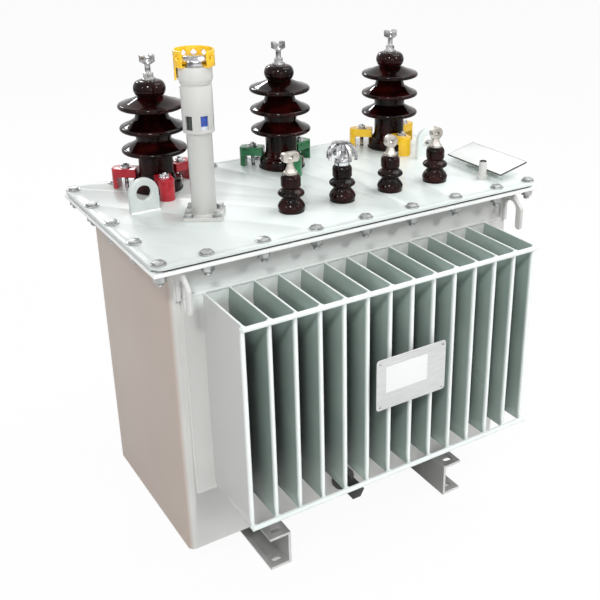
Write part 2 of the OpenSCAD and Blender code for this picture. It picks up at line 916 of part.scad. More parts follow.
module gauge_cap() {
  shoulder = gauge_cap_height - gauge_ring;
  color("silver")
    at_gauge(cap_z) {
      cylinder(h = shoulder, d = gauge_cap_d, $fn = round_fn);
      translate([0, 0, shoulder])
        cylinder(h = gauge_ring, d1 = gauge_cap_d, d2 = gauge_cap_d - 2 * gauge_ring, $fn = round_fn);
    }
}

// Crown round the cap, open to the front: a floor ring, a wall with diamond openings and a tongue
module gauge_guard() {
  inner_r = guard_r - guard_thickness;
  cap_seat_r = gauge_cap_d / 2 + seat_clearance;
  color("gold")
    at_gauge(cap_z)
      difference() {
        union() {
          cylinder(h = guard_height, r = guard_r, $fn = round_fn);
          intersection() {
            translate([0, 0, -gauge_collar])
              cylinder(h = gauge_collar + cut_extra, r = guard_r, $fn = round_fn);
            translate([-guard_d, -guard_tongue / 2, -gauge_collar])
              cube([guard_d, guard_tongue, gauge_collar + cut_extra]);
          }
        }
        translate([0, 0, guard_thickness])
          cylinder(h = guard_height, r = inner_r, $fn = round_fn);
        translate([0, 0, -cut_extra])
          cylinder(h = guard_height, r = cap_seat_r, $fn = round_fn);
        translate([0, 0, -gauge_collar - cut_extra])
          cylinder(h = gauge_collar + cut_extra, r = inner_r, $fn = round_fn);
        translate([0, 0, -cut_extra])
          linear_extrude(guard_height + 2 * cut_extra)
            polygon([
              [0, 0], [guard_d * cos(guard_front - guard_mouth), guard_d * sin(guard_front - guard_mouth)],
              [guard_d * cos(guard_front + guard_mouth), guard_d * sin(guard_front + guard_mouth)]
            ]);
        for (k = [0:guard_openings - 1])
          rotate([0, 0, guard_front + guard_mouth + (k + 0.5) * (360 - 2 * guard_mouth) / guard_openings])
            translate([guard_r, 0, guard_height - guard_opening - guard_thickness])
              rotate([45, 0, 0])
                cube([4 * guard_thickness, guard_opening, guard_opening], center = true);
      }
}

// Plate with a round top and a lifting hole, drawn in the XZ plane
module lifting_lug() {
  translate([0, lug_thickness / 2, 0])
    rotate([90, 0, 0])
      linear_extrude(lug_thickness)
        difference() {
          union() {
            translate([0, lug_hole_z])
              circle(d = lug_d, $fn = round_fn);
            translate([-lug_d / 2, 0])
              square([lug_d, lug_hole_z]);
          }
          translate([0, lug_hole_z])
            circle(d = lug_hole_d, $fn = round_fn);
        }
}

module left_lifting_lug() {
  color("whitesmoke")
    translate([-lug_x, lug_y, cover_top])
      lifting_lug();
}

module right_lifting_lug() {
  color("whitesmoke")
    translate([lug_x, lug_y, cover_top])
      lifting_lug();
}

// Open pocket on a hexagonal foot
module thermometer_pocket() {
  color("lightgray")
    translate([pocket_x, pocket_y, cover_top])
      difference() {
        union() {
          cylinder(h = pocket_height, d = pocket_d, $fn = round_fn);
          cylinder(h = nut_height, d = pocket_d + 6, $fn = 6);
        }
        translate([0, 0, pocket_height - pocket_bore_depth])
          cylinder(h = pocket_height, d = pocket_bore_d, $fn = round_fn);
      }
}

// Folded foot whose top follows the tilted plate
module cover_tag_bracket() {
  half = tag_foot_wall / 2;
  edge = tag_foot_width / 2;
  rise = tag_middle_z - seat_clearance;
  slope = half * tan(tag_tilt);
  color("lightgray")
    translate([tag_x, tag_y, cover_top])
      rotate([90, 0, 0])
        linear_extrude(tag_foot_length, center = true)
          polygon([
            [-edge, 0], [edge, 0], [edge, tag_foot_wall], [half, tag_foot_wall], [half, rise + slope],
            [-half, rise - slope], [-half, tag_foot_wall], [-edge, tag_foot_wall]
          ]);
}

module cover_tag() {
  color("white")
    translate([tag_x, tag_y, cover_top + tag_middle_z])
      rotate([0, -tag_tilt, 0])
        translate([-tag_width / 2, -tag_length / 2, 0])
          cube([tag_width, tag_length, tag_thickness]);
}

// Outline of a fin's tip with clearance all round
module fin_slot() {
  t = fin_thickness / 2 + seat_clearance;
  translate([-t, fin_thickness / 2 - fin_tip])
    square([2 * t, fin_depth]);
  translate([0, fin_thickness / 2 - fin_tip])
    circle(t, $fn = round_fn);
}

// Saddles on two fins' tips that carry the rating plate
module rating_plate_bracket() {
  first = floor((plate_x + fin_span / 2) / fin_pitch);
  color("gray")
    for (k = [first, first + 2])
      translate([fin_x(k), 0, plate_z - saddle_height / 2])
        difference() {
          translate([-fin_thickness / 2 - saddle_wall, -fin_tip - plate_standoff, 0])
            cube([fin_thickness + 2 * saddle_wall, plate_standoff + saddle_grip, saddle_height]);
          translate([0, 0, -cut_extra])
            linear_extrude(saddle_height + 2 * cut_extra)
              fin_slot();
        }
}

module rating_plate() {
  color("lightgray")
    translate([plate_x, -fin_tip - plate_standoff, plate_z])
      rotate([90, 0, 0])
        linear_extrude(plate_thickness)
          round_rect(plate_width, plate_height, plate_corner_r);
}

// Flanged drain valve with a hexagonal plug
module drain_valve() {
  color("dimgray")
    translate([drain_x, -tank_depth / 2, rail_height + drain_z])
      rotate([90, 0, 0]) {
        cylinder(h = drain_flange, d = drain_d + 12, $fn = round_fn);
        cylinder(h = drain_length - drain_flange, d = drain_d - 8, $fn = round_fn);
        translate([0, 0, drain_length - drain_plug])
          cylinder(h = drain_plug, d = drain_d, $fn = 6);
      }
}

tank_body();
front_fin_bank();
back_fin_bank();
front_fin_rods();
back_fin_rods();
tank_flange();
cover_gasket();
cover_plate();
left_rail();
right_rail();
front_left_hook();
front_right_hook();
back_left_hook();
back_right_hook();
left_hv_bushing();
middle_hv_bushing();
right_hv_bushing();
left_hv_terminal();
middle_hv_terminal();
right_hv_terminal();
red_clamps();
green_clamps();
yellow_clamps();
first_lv_bushing();
second_lv_bushing();
third_lv_bushing();
fourth_lv_bushing();
first_lv_terminal();
second_lv_terminal();
third_lv_terminal();
fourth_lv_terminal();
gauge_foot_plate();
gauge_tube();
gauge_window();
gauge_head();
gauge_cap();
gauge_guard();
left_lifting_lug();
right_lifting_lug();
thermometer_pocket();
cover_tag();
cover_tag_bracket();
rating_plate();
rating_plate_bracket();
drain_valve();
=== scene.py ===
# Looks of an oil-immersed distribution transformer with pleated fin walls, dressed over its CAD.
# Metres, +Z up, the low voltage side faces -Y. MM turns sizes in millimetres into metres.
import json
import math

import bmesh
import bpy
from mathutils import Matrix, Vector


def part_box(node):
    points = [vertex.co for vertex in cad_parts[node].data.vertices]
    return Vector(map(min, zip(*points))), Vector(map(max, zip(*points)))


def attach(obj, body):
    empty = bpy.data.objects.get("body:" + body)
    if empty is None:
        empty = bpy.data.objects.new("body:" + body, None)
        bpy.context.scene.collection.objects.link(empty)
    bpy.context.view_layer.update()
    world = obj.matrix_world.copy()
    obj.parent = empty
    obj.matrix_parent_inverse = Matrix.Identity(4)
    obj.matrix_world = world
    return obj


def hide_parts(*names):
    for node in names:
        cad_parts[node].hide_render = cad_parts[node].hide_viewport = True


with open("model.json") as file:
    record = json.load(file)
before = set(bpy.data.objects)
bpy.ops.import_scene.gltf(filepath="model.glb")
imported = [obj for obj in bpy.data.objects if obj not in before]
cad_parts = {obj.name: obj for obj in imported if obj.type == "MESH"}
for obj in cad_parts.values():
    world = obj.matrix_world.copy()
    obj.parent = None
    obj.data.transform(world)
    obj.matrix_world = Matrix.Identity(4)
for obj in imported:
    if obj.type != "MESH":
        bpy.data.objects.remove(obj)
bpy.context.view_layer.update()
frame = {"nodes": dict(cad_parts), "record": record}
nodes = frame["nodes"]
MM = 0.001

# Sizes of the real pieces that the frame doesn't give, in millimetres and degrees
FINS = 14
FIN_PITCH = 45
FIN_THICKNESS = 8
SHEET_MARGIN = 37  # plain pleated sheet beyond the middle of each outer fin
SHEET_PROUD = 3  # how far the sheet stands off the tank's wall
ROD_RADIUS = 4.5
COVER_BOLT_PITCH = 98
COVER_BOLT_INSET = 14
CLAMP_CIRCLE_RADIUS = 58
CLAMP_TURN = 22
GAUGE_TURN = -30
GAUGE_TUBE_WELD_RADIUS = 21.5
GAUGE_FOOT_THICKNESS = 6
GAUGE_BOLT_OFFSET = 24
TAG_LENGTH, TAG_WIDTH, TAG_TILT = 160, 66, 13
PLATE_RIVET_INSET = 7
PLATE_FIELD_EDGES = (-41, 46, 370, 420)  # the rating plate's pale field: left, right, bottom, top


# ---------------------------------------------------------------- places

def corners(*names):
    """Lowest and highest corner of some nodes together, in metres."""
    boxes = [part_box(name) for name in names]
    return (Vector([min(b[0][i] for b in boxes) for i in range(3)]),
            Vector([max(b[1][i] for b in boxes) for i in range(3)]))


def foot_of(name):
    """Middle of a node's underside."""
    low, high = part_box(name)
    return Vector(((low.x + high.x) / 2, (low.y + high.y) / 2, low.z))


# ---------------------------------------------------------------- finishes

def linear(colour):
    """Linear colour of an sRGB hex value."""
    parts = [int(colour[i:i + 2], 16) / 255 for i in (1, 3, 5)]
    return [p / 12.92 if p <= 0.04045 else ((p + 0.055) / 1.055) ** 2.4 for p in parts] + [1.0]


def put(tree, kind, sockets=None, **settings):
    """Adds one shader node, makes its settings, and sets or links its sockets by name or number."""
    made = tree.nodes.new(kind)
    for name, value in settings.items():
        setattr(made, name, value)
    for name, value in (sockets or {}).items():
        if isinstance(value, bpy.types.NodeSocket):
            tree.links.new(value, made.inputs[name])
        else:
            made.inputs[name].default_value = value
    return made


def surface(name, **sockets):
    """A named finish with one surface shader, and the object's own coordinates for its patterns."""
    made = bpy.data.materials.new(name)
    made.use_nodes = True
    tree = made.node_tree
    shader = tree.nodes["Principled BSDF"]
    for key, value in sockets.items():
        shader.inputs[key.replace("_", " ").title().replace("Ior", "IOR")].default_value = value
    return made, tree, shader, put(tree, "ShaderNodeTexCoord").outputs["Object"]


def pattern(tree, where, grain_mm, detail=3.0, stretch=(1, 1, 1)):
    """Cloudy pattern whose grain is grain_mm across, drawn out along each axis by its stretch."""
    placed = put(tree, "ShaderNodeMapping", {"Vector": where, "Scale": [1 / s for s in stretch]})
    return put(tree, "ShaderNodeTexNoise", {
        "Vector": placed.outputs["Vector"], "Scale": 1 / (grain_mm * MM), "Detail": detail,
    }).outputs["Fac"]


def blend_colours(tree, share, low, high, first, second):
    """First colour where the pattern is under low, second where it is over high."""
    steps = put(tree, "ShaderNodeMapRange", {"Value": share, "From Min": low, "From Max": high})
    return put(tree, "ShaderNodeMix", {
        0: steps.outputs["Result"], 6: linear(first), 7: linear(second),
    }, data_type="RGBA").outputs[2]


def dull(tree, shader, share, low, high):
    """Lets the shine vary with a pattern, from roughness low to roughness high."""
    steps = put(tree, "ShaderNodeMapRange", {
        "Value": share, "From Min": 0.3, "From Max": 0.7, "To Min": low, "To Max": high,
    })
    tree.links.new(steps.outputs["Result"], shader.inputs["Roughness"])


def relief(tree, shader, height, depth_mm, strength=1.0):
    """Lets a pattern stand up by depth_mm."""
    bump = put(tree, "ShaderNodeBump", {
        "Height": height, "Distance": depth_mm * MM, "Strength": strength,
    })
    tree.links.new(bump.outputs["Normal"], shader.inputs["Normal"])


def stove_paint(name, colour, shade, roughness=0.38, peel_mm=5.0, streaks=0.5):
    """Stove paint on sheet steel: satin, with an orange-peel skin (2 mm in truth, drawn coarser so
    that it shows), faint upright streaks where it ran, and a slow change of tone over a hand's
    breadth."""
    made, tree, shader, where = surface(name, roughness=roughness, coat_weight=0.15,
                                        coat_roughness=0.25)
    clouds = pattern(tree, where, 190, 2.0)
    runs = pattern(tree, where, 26, 3.0, stretch=(1, 1, 14))
    tone = blend_colours(tree, clouds, 0.35, 0.65, colour, shade)
    streak = put(tree, "ShaderNodeMapRange", {
        "Value": runs, "From Min": 0.55, "From Max": 0.8, "To Min": 0.0, "To Max": streaks,
    })
    tone = put(tree, "ShaderNodeMix", {
        0: streak.outputs["Result"], 6: tone, 7: linear(shade),
    }, data_type="RGBA").outputs[2]
    tree.links.new(tone, shader.inputs["Base Color"])
    peel = pattern(tree, where, peel_mm, 1.0)
    dull(tree, shader, clouds, roughness - 0.05, roughness + 0.07)
    relief(tree, shader, peel, 0.12, 0.6)
    return made


def within(tree, share, *limits):
    """The share where every limit holds, and 0 outside them. A limit names an axis of the object,
    or the distance from its middle as |X| or |Y|, with the place where it starts to hold and the
    place where it holds in full."""
    where = put(tree, "ShaderNodeSeparateXYZ", {
        0: put(tree, "ShaderNodeTexCoord").outputs["Object"],
    })
    for axis, start, full in limits:
        place = where.outputs[axis.strip("|")]
        if "|" in axis:
            place = put(tree, "ShaderNodeMath", {0: place}, operation="ABSOLUTE").outputs[0]
        held = put(tree, "ShaderNodeMapRange", {
            "Value": place, "From Min": start, "From Max": full,
        }).outputs["Result"]
        share = put(tree, "ShaderNodeMath", {0: held, 1: share}, operation="MULTIPLY").outputs[0]
    return share


def lay_over(made, colour, *limits, share=1.0):
    """Lays a colour over a finish within the limits, as thickly as the share says."""
    tree = made.node_tree
    base = tree.nodes["Principled BSDF"].inputs["Base Color"]
    tone = put(tree, "ShaderNodeMix", {
        0: within(tree, share, *limits), 6: base.links[0].from_socket, 7: linear(colour),
    }, data_type="RGBA").outputs[2]
    tree.links.new(tone, base)


def tank_coat():
    """Tank paint: satin grey, with a band of painted light on the long walls just over the fins,
    strongest toward the left, a warmer and darker grey on the two end walls that is painted shade
    with a warm painted reflection, and nearly white on the flange, which was sprayed with the
    cover."""
    made = stove_paint("satin grey stove paint on sheet steel", "#D2D2CF", "#C5C5C2")
    flange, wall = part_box("tank_flange")[0].z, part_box("tank_body")[1].x
    # Painted light: a pale band on the long walls, between the shade under the flange and the fins,
    # strongest toward the left.
    lay_over(made, "#E6ECE9",
             ("X", wall, -wall), ("|X|", wall - 22 * MM, wall - 27 * MM),
             ("Z", flange - 90 * MM, flange - 75 * MM), ("Z", flange - 26 * MM, flange - 46 * MM))
    # Painted shade with a warm painted reflection: the end walls are made a darker, warmer grey.
    lay_over(made, "#B0A095", ("|X|", wall - 8 * MM, wall - 1 * MM))
    lay_over(made, "#F2F4F2", ("Z", flange - 1 * MM, flange + 0.5 * MM))
    return made


def fin_coat():
    """Flow-coated paint on pleated sheet: grey-green in the bays and darker deep inside them with
    painted shade, plain grey on the outer faces of the end fins, and a painted highlight, nearly
    white, along the thin tips and tops."""
    made = stove_paint("flow-coated grey-green paint on pleated sheet", "#A2B1AA", "#90A099",
                       roughness=0.32)
    low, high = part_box("front_fin_bank")
    # Painted shade: darker deep inside the bays, toward the wall and below the top.
    lay_over(made, "#222C28",
             ("|Y|", -low.y - 18 * MM, -low.y - 78 * MM), ("Z", high.z - 10 * MM, high.z - 90 * MM),
             share=0.95)
    lay_over(made, "#BCBDBB", ("|X|", high.x - 3.8 * MM, high.x - 3.4 * MM))
    # Painted highlight: nearly white along the fin tips and along their tops.
    lay_over(made, "#F0F5F3", ("|Y|", -low.y - 7 * MM, -low.y - 0.5 * MM))
    lay_over(made, "#F0F5F3", ("Z", high.z - 1.6 * MM, high.z))
    return made


def cover_coat():
    """Pale grey satin paint on plate, greyer toward the cover's left end with painted shade."""
    made = stove_paint("pale grey satin paint on plate", "#EAF1EE", "#E0E8E5",
                       roughness=0.36, streaks=0.0)
    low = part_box("cover_plate")[0]
    # Painted shade: greyer toward the cover's left end.
    lay_over(made, "#CAD0CD", ("Z", low.z - 2 * MM, low.z), ("X", low.x * 0.3, low.x))
    return made


def rail_coat():
    """Grey primer on hot-rolled channel, with a painted highlight that makes the sawn ends pale."""
    made = stove_paint("grey primer paint on channel steel", "#A6A6A4", "#8E8E8C", roughness=0.5)
    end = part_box("left_rail")[1].y
    # Painted highlight: the channel's end faces are pale.
    lay_over(made, "#DCDCDA", ("|Y|", end - 0.9 * MM, end - 0.4 * MM))
    return made


def cast_enamel(name, colour, shade):
    """Brush enamel on cast iron: glossy, over the sand-cast skin whose 3 mm dimples stay under the
    paint."""
    made, tree, shader, where = surface(name, roughness=0.3, coat_weight=0.3, coat_roughness=0.08)
    dimples = pattern(tree, where, 3, 2.0)
    tone = blend_colours(tree, pattern(tree, where, 14, 2.0), 0.35, 0.68, colour, shade)
    tree.links.new(tone, shader.inputs["Base Color"])
    relief(tree, shader, dimples, 0.5, 0.5)
    return made


def glazed_porcelain():
    """Brown glaze on wet-process porcelain: a thick glossy skin, redder where it ran thin, with
    slow waves."""
    made, tree, shader, where = surface("dipped brown glaze on porcelain",
                                        roughness=0.06, ior=1.5, specular_ior_level=0.17)
    thin = pattern(tree, where, 34, 2.0)
    tone = blend_colours(tree, thin, 0.42, 0.72, "#0C0202", "#2E0907")
    tree.links.new(tone, shader.inputs["Base Color"])
    relief(tree, shader, pattern(tree, where, 11, 1.0), 0.35, 0.35)
    return made


def turned_metal(name, colour, shade, low, high, ring_mm=0.9, painted_reflection_mm=0):
    """Turned and plated metal: fine rings of the lathe tool (0.2 mm in truth, drawn wider), and a
    plated skin that dulls in patches. Where painted_reflection_mm is given, its colour changes
    instead in light and dark bands round the piece: a painted reflection of the surroundings."""
    made, tree, shader, where = surface(name, metallic=1.0, roughness=(low + high) / 2)
    rings = pattern(tree, where, ring_mm, 1.0, stretch=(60, 60, 1))
    patches = pattern(tree, where, 9, 3.0)
    film_and_reflection = pattern(tree, where, painted_reflection_mm, 2.0, stretch=(3, 3, 1)) if painted_reflection_mm else patches
    tone = blend_colours(tree, film_and_reflection, 0.38, 0.66, colour, shade)
    tree.links.new(tone, shader.inputs["Base Color"])
    dull(tree, shader, patches, low, high)
    relief(tree, shader, rings, 0.05, 0.5)
    return made


def brushed_aluminium():
    """Brushed and clear anodised aluminium sheet: fine lines along its length that spread the light
    sideways."""
    made, tree, shader, where = surface("brushed anodised aluminium sheet", metallic=1.0,
                                        roughness=0.34)
    lines = pattern(tree, where, 0.6, 2.0, stretch=(60, 60, 1))
    tone = blend_colours(tree, lines, 0.3, 0.7, "#DEDEDE", "#CBCCCD")
    tree.links.new(tone, shader.inputs["Base Color"])
    dull(tree, shader, lines, 0.38, 0.5)
    relief(tree, shader, lines, 0.02, 0.4)
    return made


def cork_rubber():
    """Pressed cork and nitrile rubber: matt and dark, with 2 mm grains of cork that show paler."""
    made, tree, shader, where = surface("pressed cork and rubber jointing", roughness=0.85)
    grains = put(tree, "ShaderNodeTexVoronoi", {"Vector": where, "Scale": 1 / (2 * MM)})
    grains = grains.outputs["Distance"]
    tone = blend_colours(tree, grains, 0.3, 0.6, "#0C0B0A", "#24211D")
    tree.links.new(tone, shader.inputs["Base Color"])
    relief(tree, shader, grains, 0.3, 0.5)
    return made


def gauge_body():
    """Clear acrylic sleeve over a moulded blue float: deep blue with a pale band under the float,
    behind a clear gloss. The float fills the right slot, and the left one is darkened with painted
    shade."""
    made, tree, shader, where = surface("clear acrylic over a moulded blue float", roughness=0.18,
                                        coat_weight=1.0, coat_roughness=0.02, ior=1.49)
    swirl = blend_colours(tree, pattern(tree, where, 16, 2.0), 0.35, 0.7, "#0F4FC0", "#0B3E9A")
    tree.links.new(swirl, shader.inputs["Base Color"])
    float_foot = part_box("gauge_window")[0].z + 5 * MM
    lay_over(made, "#DCE4EA", ("Z", float_foot + 1.5 * MM, float_foot))
    turn = math.radians(GAUGE_TURN)
    sideways = put(tree, "ShaderNodeVectorMath", {
        0: where, 1: foot_of("gauge_window"),
    }, operation="SUBTRACT").outputs[0]
    sideways = put(tree, "ShaderNodeVectorMath", {
        0: sideways, 1: (math.cos(turn), math.sin(turn), 0),
    }, operation="DOT_PRODUCT").outputs["Value"]
    # Painted shade: the sleeve's left slot, seen edge-on, is darkened.
    left = put(tree, "ShaderNodeMapRange", {
        "Value": sideways, "From Min": 1 * MM, "From Max": -1 * MM,
    }).outputs["Result"]
    lay_over(made, "#1A2420", share=left)
    return made


FINISHES = {
    "tank_paint": tank_coat(),
    "fin_paint": fin_coat(),
    "cover_paint": cover_coat(),
    "gasket_rubber": cork_rubber(),
    "rail_paint": rail_coat(),
    "brown_porcelain": glazed_porcelain(),
    "tinned_brass": turned_metal("tin-plated turned brass", "#D9D3CC", "#B5AEA6", 0.28, 0.46),
    "red_paint": cast_enamel("red enamel on cast iron", "#BE1229", "#A30C20"),
    "green_paint": cast_enamel("green enamel on cast iron", "#0E7A45", "#075E33"),
    "yellow_paint": cast_enamel("yellow enamel on cast iron", "#FFD022", "#F6BF18"),
    "gauge_paint": stove_paint("pale grey paint on drawn tube", "#D2D2CE", "#C3C3BF",
                               roughness=0.3, streaks=0.2),
    "gauge_glass": gauge_body(),
    # Nickel: its dark shade is laid in bands round the piece, a painted reflection.
    "bright_steel": turned_metal("nickel-plated turned steel", "#E6E6E8", "#6A6B6E", 0.1, 0.24,
                                 painted_reflection_mm=7),
    "plate_aluminium": brushed_aluminium(),
    "white_enamel": stove_paint("white enamel on thin sheet", "#F1F2F0", "#E6E8E6",
                                roughness=0.25, streaks=0.0),
    "valve_iron": cast_enamel("black bitumen paint on cast iron", "#1A1A19", "#0E0E0D"),
}
ZINC = turned_metal("dull zinc plate on forged steel", "#BDBFBF", "#9FA1A0", 0.36, 0.5, ring_mm=2.0)
# Tinned copper: its dark shade is laid in bands round the piece, a painted reflection.
TINNED_COPPER = turned_metal("tin-plated turned copper", "#C9C9C9", "#6E6E70", 0.18, 0.34,
                             painted_reflection_mm=8)
PLATE_FIELD = stove_paint("etched and whitened field on aluminium", "#EDEEED", "#E6E7E6",
                          roughness=0.45, streaks=0.0)
# Dark edging whose colour is painted shade on the rim of the cover's tag.
TAG_RIM_SHADE = stove_paint("dark edging for the shaded rim of the tag", "#55534F", "#45433F",
                        roughness=0.6, streaks=0.0)
slot_of = {part["node"]: part["material_slot"] for part in frame["record"]["subparts"]}


# ---------------------------------------------------------------- ways of making pieces

def finish_piece(name, shape, slot, material=None, replaced=(), crease=35):
    """Turns a shape into a finished piece, smooth where faces meet at less than crease degrees."""
    mesh = bpy.data.meshes.new(name)
    shape.to_mesh(mesh)
    shape.free()
    mesh.shade_smooth()
    mesh.set_sharp_from_angle(angle=math.radians(crease))
    mesh.materials.append(material or FINISHES[slot])
    made = bpy.data.objects.new(name, mesh)
    bpy.context.scene.collection.objects.link(made)
    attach(made, "root")
    if replaced:
        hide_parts(*replaced)
    return made


def set_down(target, source, *places):
    """Puts a copy of the source shape into the target at each place, a matrix or a point."""
    mesh = bpy.data.meshes.new("pattern")
    source.to_mesh(mesh)
    for place in places:
        matrix = place if isinstance(place, Matrix) else Matrix.Translation(place)
        copy = mesh.copy()
        copy.transform(matrix)
        target.from_mesh(copy)
        bpy.data.meshes.remove(copy)
    bpy.data.meshes.remove(mesh)
    return target


def round_edges(shape, width_mm, segments=2, over=30):
    """Rounds the edges whose faces meet at more than a given angle."""
    limit = math.radians(over)
    sharp = [e for e in shape.edges if len(e.link_faces) == 2 and e.calc_face_angle(0) > limit]
    bmesh.ops.bevel(shape, geom=sharp, offset=width_mm * MM, segments=segments, profile=0.5,
                    affect="EDGES", material=-1, clamp_overlap=True)
    return shape


def copy_of(name):
    """Copy of a CAD node, merged, with its flat faces whole again."""
    shape = bmesh.new()
    shape.from_mesh(nodes[name].data)
    bmesh.ops.remove_doubles(shape, verts=shape.verts, dist=0.02 * MM)
    bmesh.ops.dissolve_limit(shape, angle_limit=math.radians(0.5), verts=shape.verts,
                             edges=shape.edges)
    return shape


def turned(outline, steps=64):
    """Turns a half outline round the upright axis. Each point is its radius and height, and how far
    it is rounded off, in mm."""
    shape = bmesh.new()
    points = [shape.verts.new((p[0] * MM, 0, p[1] * MM)) for p in outline]
    for pair in zip(points, points[1:]):
        shape.edges.new(pair)
    for point, place in zip(points, outline):
        if len(place) > 2:
            bmesh.ops.bevel(shape, geom=[point], offset=place[2] * MM, segments=4, profile=0.5,
                            affect="VERTICES", material=-1)
    bmesh.ops.spin(shape, geom=shape.verts[:] + shape.edges[:], cent=(0, 0, 0), axis=(0, 0, 1),
                   angle=math.tau, steps=steps, use_merge=True)
    bmesh.ops.remove_doubles(shape, verts=shape.verts, dist=0.01 * MM)
    bmesh.ops.recalc_face_normals(shape, faces=shape.faces)
    return shape


def prism(sides, across_mm, height_mm, base_mm=0.0, edge_mm=0.6):
    """Upright prism with its edges rounded: across_mm from flat to flat, standing base_mm up."""
    shape = bmesh.new()
    radius = across_mm / 2 / math.cos(math.pi / sides) * MM
    bmesh.ops.create_cone(shape, cap_ends=True, segments=sides, radius1=radius, radius2=radius,
                          depth=height_mm * MM,
                          matrix=Matrix.Translation((0, 0, (base_mm + height_mm / 2) * MM)))
    return round_edges(shape, edge_mm, 2)


def nut_head(across_mm, height_mm, base_mm, sides=6):
    """Hexagon head or nut whose corners are turned off at the top."""
    shape = prism(sides, across_mm, height_mm, base_mm, edge_mm=0.5)
    top = base_mm + height_mm
    crown = turned([(0, top + 0.25), (across_mm * 0.42, top + 0.25),
                    (across_mm * 0.47, top - 0.3), (0, top - 0.3)], 24)
    set_down(shape, crown, (0, 0, 0))
    crown.free()
    return shape


def washer(across_mm, hole_mm, thick_mm, base_mm):
    """Flat washer with its edges rounded."""
    r, hole, top = across_mm / 2, hole_mm / 2, base_mm + thick_mm
    return turned([(hole, base_mm), (r, base_mm, 0.3), (r, top, 0.6), (hole, top, 0.3),
                   (hole, base_mm)], 32)


def shank(across_mm, low_mm, high_mm, steps=20):
    """Plain round shank of a bolt."""
    r = across_mm / 2
    return turned([(0, low_mm), (r, low_mm), (r, high_mm), (0, high_mm)], steps)


def threaded(across_mm, low_mm, high_mm, pitch_mm=2.0):
    """Stud with the crests of its thread as rings and a chamfered end."""
    r, depth = across_mm / 2, pitch_mm * 0.45
    outline = [(0, low_mm), (r - depth, low_mm)]
    z = low_mm
    while z + pitch_mm < high_mm:
        outline += [(r, z + pitch_mm / 2), (r - depth, z + pitch_mm)]
        z += pitch_mm
    return turned(outline + [(r - depth, high_mm), (0, high_mm)], 20)


def gather(*shapes):
    """Puts several shapes into the first one."""
    for shape in shapes[1:]:
        set_down(shapes[0], shape, (0, 0, 0))
        shape.free()
    return shapes[0]


def weld_bead(shape, start, end, radius_mm, ripple_mm=5.0):
    """Lays a straight weld bead: a half-sunk round bar with a ripple for each dip of the rod."""
    start, end = Vector(start), Vector(end)
    length = (end - start).length
    rings = max(2, round(length / (ripple_mm * MM) * 2))
    bar = bmesh.new()
    bmesh.ops.create_cone(bar, cap_ends=True, segments=8, radius1=radius_mm * MM,
                          radius2=radius_mm * MM, depth=length)
    upright = [e for e in bar.edges if abs(e.verts[0].co.z - e.verts[1].co.z) > length / 2]
    bmesh.ops.subdivide_edges(bar, edges=upright, cuts=rings - 1)
    for v in bar.verts:
        step = round((v.co.z / length + 0.5) * rings)
        swell = 1.0 + (0.1 if step % 2 else -0.1)
        swell += 0.06 * math.sin(step * 1.7) + 0.05 * math.sin(step * 0.61)
        v.co.x *= swell
        v.co.y *= swell
    turn = (end - start).to_track_quat("Z", "Y").to_matrix().to_4x4()
    set_down(shape, bar, Matrix.Translation((start + end) / 2) @ turn)
    bar.free()


def weld_ring(shape, centre, radius_mm, bead_mm, ripples=28):
    """Lays a round weld bead flat round a centre."""
    ring = bmesh.new()
    place = Matrix.Translation((radius_mm * MM, 0, 0)) @ Matrix.Rotation(math.pi / 2, 4, "X")
    bmesh.ops.create_circle(ring, segments=8, radius=bead_mm * MM, matrix=place)
    bmesh.ops.spin(ring, geom=ring.verts[:] + ring.edges[:], cent=(0, 0, 0), axis=(0, 0, 1),
                   angle=math.tau, steps=ripples * 2, use_merge=True)
    bmesh.ops.remove_doubles(ring, verts=ring.verts, dist=0.001 * MM)
    for v in ring.verts:
        step = round(math.atan2(v.co.y, v.co.x) / math.tau * ripples * 2)
        v.co.z *= 1.15 if step % 2 else 0.85
    bmesh.ops.recalc_face_normals(ring, faces=ring.faces)
    set_down(shape, ring, Vector(centre))
    ring.free()


def softened(name, width_mm, segments=2, over=30, crease=35, material=None):
    """The node's own shape with its edges rounded, which stands for the node."""
    shape = copy_of(name)
    if width_mm:
        round_edges(shape, width_mm, segments, over)
    return finish_piece(name + "_rounded", shape, slot_of[name], material, [name], crease)


# ---------------------------------------------------------------- tank, fins and welds

HOOKS = ("front_left_hook", "front_right_hook", "back_left_hook", "back_right_hook")
softened("tank_body", 0.0)
for bank in ("front_fin_bank", "back_fin_bank", "front_fin_rods", "back_fin_rods"):
    softened(bank, 0.0, crease=25)
softened("tank_flange", 1.2)
softened("cover_plate", 1.2)
softened("cover_gasket", 0.6)
for rail in ("left_rail", "right_rail"):
    softened(rail, 1.6)
for hook in HOOKS:
    softened(hook, 2.0, 3)

tank_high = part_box("tank_body")[1]
fins_low, fins_high = corners("front_fin_bank", "back_fin_bank")
cover_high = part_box("cover_plate")[1]
lid = cover_high.z
sheet_x = fins_high.x + (SHEET_MARGIN - FIN_THICKNESS / 2) * MM
wall_x = tank_high.x
wall_y = tank_high.y - SHEET_PROUD * MM
corner = 12 * MM  # the beads under the flange stop short of the tank's rounded corners

tank_welds = bmesh.new()
for side in (-1, 1):
    y = side * (wall_y + 1.0 * MM)
    above, below = fins_high.z + 0.5 * MM, fins_low.z - 0.5 * MM
    weld_bead(tank_welds, (-sheet_x, y, above), (sheet_x, y, above), 3.6)
    weld_bead(tank_welds, (-sheet_x, y, below), (sheet_x, y, below), 3.0)
    for end in (-1, 1):
        x = end * (sheet_x + 0.3 * MM)
        weld_bead(tank_welds, (x, y, fins_low.z), (x, y, fins_high.z), 2.4)
    x, y, z = side * (wall_x + 0.5 * MM), side * (wall_y + 0.5 * MM), tank_high.z - 1 * MM
    weld_bead(tank_welds, (-wall_x + corner, y, z), (wall_x - corner, y, z), 3.2)
    weld_bead(tank_welds, (x, -wall_y + corner, z), (x, wall_y - corner, z), 3.2)
finish_piece("tank_welds", tank_welds, "tank_paint", crease=60)

